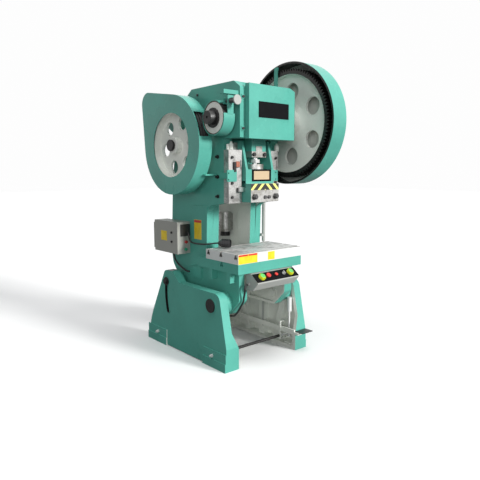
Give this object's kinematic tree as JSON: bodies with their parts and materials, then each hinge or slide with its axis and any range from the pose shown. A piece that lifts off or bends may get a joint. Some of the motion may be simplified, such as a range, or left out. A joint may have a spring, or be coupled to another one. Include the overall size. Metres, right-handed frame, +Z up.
{
  "type": "mechanical stamping press",
  "caption": "Inclinable C-frame mechanical power press with flywheel, gear guard, band brake, slotted bolster, two-hand control box and foot treadle",
  "frame": {"origin": "on the floor, in the middle of the four anchor bolts", "axes": "+X to the right seen from the front, +Y to the back, +Z up"},
  "size_m": [0.925, 1.3316, 2.2135],
  "materials": {
    "green_paint": "semi-gloss machine enamel over cast iron",
    "pale_paint": "grey-white undercoat",
    "grey_paint": "grey powder coat",
    "machined_steel": "ground and oiled",
    "bright_steel": "turned bright",
    "dark_steel": "oiled dark steel",
    "black_steel": "black oxide",
    "gear_iron": "greased cast iron",
    "cream_metal": "cream primer",
    "bronze": "turned bronze",
    "lining": "woven brake lining",
    "belt_rubber": "matte rubber",
    "label_plate": "plain enamelled plates",
    "ram_plate": "striped and plain plates",
    "black_plastic": "matte black",
    "lamp_lens": "moulded lens",
    "palm_green": "moulded button",
    "stop_red": "moulded button"
  },
  "bodies": {
    "base": {"left_leg": "green_paint", "right_leg": "green_paint", "tie_rods": "black_steel", "treadle_bracket": "pale_paint", "return_strut": "bright_steel"},
    "frame_body": {"frame": "green_paint", "tilt_bolts": "black_steel", "bolster": "machined_steel", "socket_screws": "black_steel", "front_cover": "green_paint", "label_plates": "label_plate", "bushes": "bronze", "brake_band": "green_paint", "brake_lining": "lining", "brake_tension": "bright_steel", "gear_guard": "green_paint", "guard_post": "green_paint", "belt_guard": "green_paint", "motor": "green_paint", "motor_base": "green_paint", "v_belts": "belt_rubber", "gib_caps": "machined_steel", "gib_strips": "machined_steel", "gib_brackets": "green_paint", "oil_cups": "cream_metal", "control_box": "grey_paint", "control_panel": "black_plastic", "electric_box": "grey_paint", "signal_lamps": "lamp_lens", "work_lamp": "black_plastic", "conduits": "black_plastic", "clutch_solenoid": "grey_paint", "rod_guide": "grey_paint"},
    "crank": {"crankshaft": "dark_steel", "brake_drum": "cream_metal"},
    "gear": {"bull_gear": "gear_iron"},
    "drive": {"drive_shaft": "dark_steel", "drive_pinion": "gear_iron", "flywheel": "cream_metal"},
    "motor_rotor": {"motor_pulley": "dark_steel"},
    "slide_ram": {"ram": "green_paint", "shank_clamp": "machined_steel", "clamp_nuts": "black_steel", "ram_plates": "ram_plate", "ball_seat": "bronze"},
    "rod": {"connecting_rod": "green_paint", "rod_clamp": "machined_steel", "ball_screw": "bright_steel"},
    "knockout": {"knockout_bar": "bright_steel"},
    "treadle": {"treadle_lever": "black_steel", "treadle_plate": "black_steel"},
    "trip_rod": {"pull_rod": "bright_steel"},
    "trip": {"trip_lever": "dark_steel"},
    "door": {"box_door": "grey_paint"},
    "left_palm": {"left_palm_button": "palm_green"},
    "right_palm": {"right_palm_button": "palm_green"},
    "e_stop": {"emergency_stop": "stop_red"},
    "stop": {"stop_button": "stop_red"},
    "selector_knob": {"selector": "bright_steel"}
  },
  "joints": [
    {"name": "frame_tilt", "type": "hinge", "parent": "base", "child": "frame_body", "pos_m": [0, -0.345, 0.449], "axis": [-1, 0, 0], "range_deg": [0, 13]},
    {"name": "crank_spin", "type": "hinge", "parent": "frame_body", "child": "crank", "pos_m": [0, -0.356, 1.756], "axis": [1, 0, 0], "continuous": true},
    {"name": "gear_spin", "type": "hinge", "parent": "frame_body", "child": "gear", "pos_m": [0.38, -0.356, 1.756], "axis": [1, 0, 0], "continuous": true},
    {"name": "drive_spin", "type": "hinge", "parent": "frame_body", "child": "drive", "pos_m": [0, 0.08, 1.586], "axis": [1, 0, 0], "continuous": true},
    {"name": "motor_spin", "type": "hinge", "parent": "frame_body", "child": "motor_rotor", "pos_m": [-0.3, 0.386, 1.908], "axis": [1, 0, 0], "continuous": true},
    {"name": "ram_slide", "type": "slide", "parent": "frame_body", "child": "slide_ram", "axis": [0, 0, 1], "range_m": [-0.07, 0]},
    {"name": "rod_swing", "type": "hinge", "parent": "slide_ram", "child": "rod", "pos_m": [0, -0.356, 1.4], "axis": [1, 0, 0], "range_deg": [-5.1, 5.1]},
    {"name": "knockout_slide", "type": "slide", "parent": "slide_ram", "child": "knockout", "axis": [0, 0, 1], "range_m": [0, 0.04]},
    {"name": "treadle_press", "type": "hinge", "parent": "base", "child": "treadle", "pos_m": [0.278, 0.16, 0.135], "axis": [1, 0, 0], "range_deg": [0, 2.7], "stiffness_Nm_per_rad": 600},
    {"name": "trip_pull", "type": "slide", "parent": "frame_body", "child": "trip_rod", "axis": [0, 0, 1], "range_m": [-0.0145, 0]},
    {"name": "trip_swing", "type": "hinge", "parent": "frame_body", "child": "trip", "pos_m": [0.3, -0.258, 1.44], "axis": [-1, 0, 0], "range_deg": [0, 6.8]},
    {"name": "door_hinge", "type": "hinge", "parent": "frame_body", "child": "door", "pos_m": [-0.3843, 0.433, 0.88], "axis": [0, 0, -1], "range_deg": [0, 120]},
    {"name": "left_palm_push", "type": "slide", "parent": "frame_body", "child": "left_palm", "axis": [0, 0.6189, -0.7855], "range_m": [0, 0.005], "stiffness_N_per_m": 800, "springref_m": -0.002},
    {"name": "right_palm_push", "type": "slide", "parent": "frame_body", "child": "right_palm", "axis": [0, 0.6189, -0.7855], "range_m": [0, 0.005], "stiffness_N_per_m": 800, "springref_m": -0.002},
    {"name": "e_stop_push", "type": "slide", "parent": "frame_body", "child": "e_stop", "axis": [0, 0.6189, -0.7855], "range_m": [0, 0.005], "stiffness_N_per_m": 800, "springref_m": -0.002},
    {"name": "stop_push", "type": "slide", "parent": "frame_body", "child": "stop", "axis": [0, 0.6189, -0.7855], "range_m": [0, 0.005], "stiffness_N_per_m": 800, "springref_m": -0.002},
    {"name": "selector_turn", "type": "hinge", "parent": "frame_body", "child": "selector_knob", "pos_m": [0.077, -0.589, 0.656], "axis": [0, 0.6189, -0.7855], "range_deg": [-45, 45]}
  ],
  "couplings": [
    {"joint": "drive_spin", "follows": "gear_spin", "ratio": -5.8823},
    {"joint": "motor_spin", "follows": "gear_spin", "ratio": -33.333},
    {"joint": "trip_pull", "follows": "treadle_press", "m_per_rad": -0.298},
    {"joint": "trip_swing", "follows": "treadle_press", "ratio": 2.483}
  ]
}
